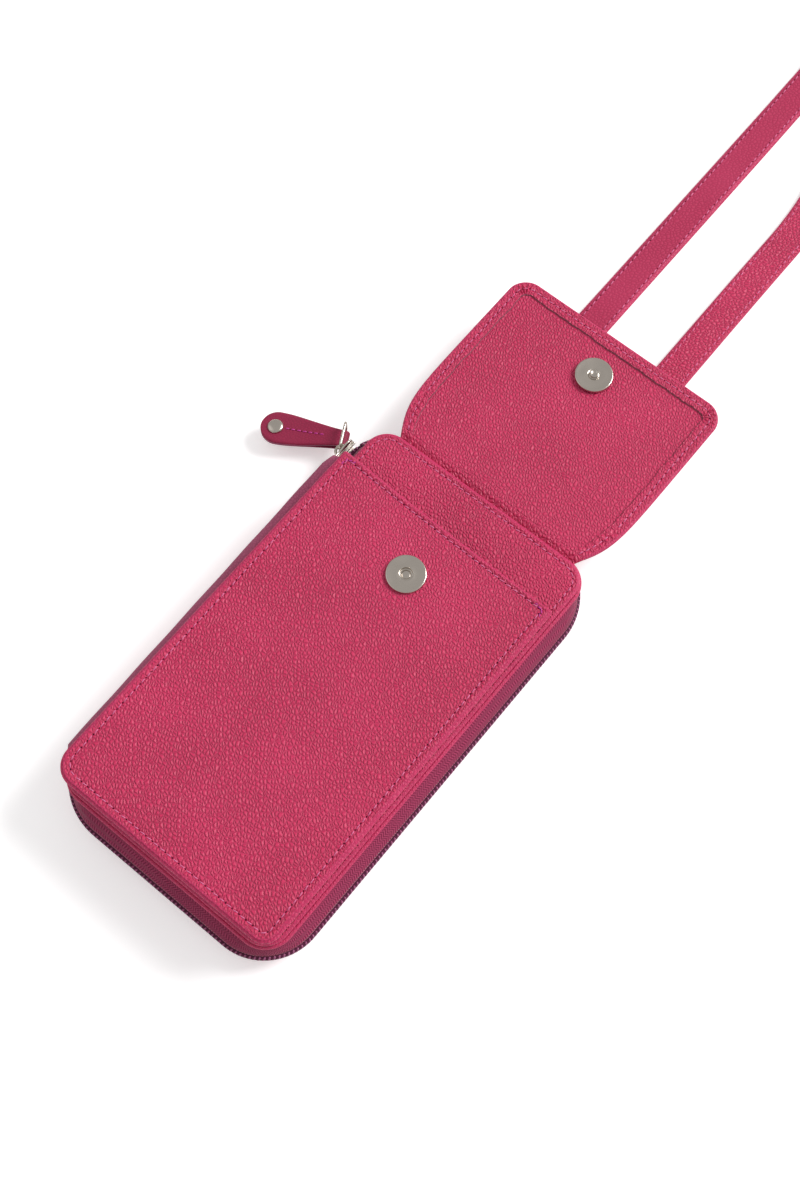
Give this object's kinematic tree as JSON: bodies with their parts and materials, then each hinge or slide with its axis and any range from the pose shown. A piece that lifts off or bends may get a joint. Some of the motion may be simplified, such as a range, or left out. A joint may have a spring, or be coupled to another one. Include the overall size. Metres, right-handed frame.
{
  "type": "phone pouch",
  "caption": "Leather phone pouch: gusseted phone pocket on a zip-around wallet, fold-over flap with magnetic snap, leather zip pull and a long rolled-up shoulder strap.",
  "frame": {"origin": "centre of the back cover's outer face, which lies on the table", "axes": "+Z out of the front, +Y along the pouch towards the flap and strap, +X towards the zip side, away from the spine"},
  "size_m": [0.1471, 0.531, 0.0332],
  "materials": {
    "pebbled_leather": "pebbled, soft sheen",
    "smooth_leather": "smooth, matte",
    "lining_cloth": "plain weave",
    "stiffener": "matte",
    "zip_tape": "herringbone weave",
    "zip_coil": "satin",
    "nickel": "polished nickel"
  },
  "bodies": {
    "back_half": {"back_cover": "pebbled_leather", "back_board": "stiffener", "back_lining": "lining_cloth", "card_slot_1": "smooth_leather", "card_slot_2": "smooth_leather", "card_slot_3": "smooth_leather", "zip_tape_back": "zip_tape", "zip_chain_back": "zip_coil", "zip_stop_top": "nickel", "zip_stop_bottom": "nickel", "spine": "pebbled_leather", "strap_end_left": "pebbled_leather", "strap_end_right": "pebbled_leather", "strap_left": "pebbled_leather", "strap_right": "pebbled_leather", "strap_twist_left": "pebbled_leather", "strap_twist_right": "pebbled_leather", "strap_roll": "pebbled_leather"},
    "front_half": {"front_lining": "lining_cloth", "front_board": "stiffener", "wallet_front_cover": "pebbled_leather", "flap_root": "pebbled_leather", "crease_lower": "pebbled_leather", "zip_tape_front": "zip_tape", "zip_chain_front": "zip_coil", "pocket_front": "pebbled_leather", "pocket_lining": "lining_cloth", "gusset_left": "pebbled_leather", "gusset_right": "pebbled_leather", "gusset_bottom": "pebbled_leather", "snap_socket": "nickel", "snap_socket_plate": "nickel"},
    "flap_neck": {"flap_neck": "pebbled_leather", "crease_upper": "pebbled_leather"},
    "flap": {"flap_outer": "pebbled_leather", "flap_hem": "pebbled_leather", "flap_lining": "smooth_leather", "snap_stud": "nickel", "snap_stud_plate": "nickel"},
    "slider": {"zip_slider": "nickel", "slider_eye": "nickel"},
    "pull": {"pull_ring": "nickel", "pull_tab": "smooth_leather", "pull_rivet": "nickel"}
  },
  "joints": [
    {"name": "wallet_open", "type": "hinge", "parent": "back_half", "child": "front_half", "pos_m": [-0.0576, 0, 0.0099], "axis": [0, -1, 0], "range_deg": [0, 80], "deforming": ["spine"]},
    {"name": "flap_neck_fold", "type": "hinge", "parent": "front_half", "child": "flap_neck", "pos_m": [0, 0.0921, 0.0181], "axis": [1, 0, 0], "range_deg": [0, 90], "deforming": ["crease_lower"]},
    {"name": "flap_fold", "type": "hinge", "parent": "flap_neck", "child": "flap", "pos_m": [0, 0.1099, 0.0181], "axis": [1, 0, 0], "range_deg": [0, 90], "deforming": ["crease_upper"]},
    {"name": "zip_slide", "type": "hinge", "parent": "back_half", "child": "slider", "pos_m": [-0.0329, 0.0739, 0.0099], "axis": [0, 0, -1], "range_deg": [0, 90]},
    {"name": "pull_swing", "type": "hinge", "parent": "slider", "child": "pull", "pos_m": [-0.0587, 0.0751, 0.0099], "axis": [0, 0, 1], "range_deg": [-5, 50]}
  ],
  "couplings": [
    {"joint": "flap_fold", "follows": "flap_neck_fold", "ratio": 1}
  ]
}
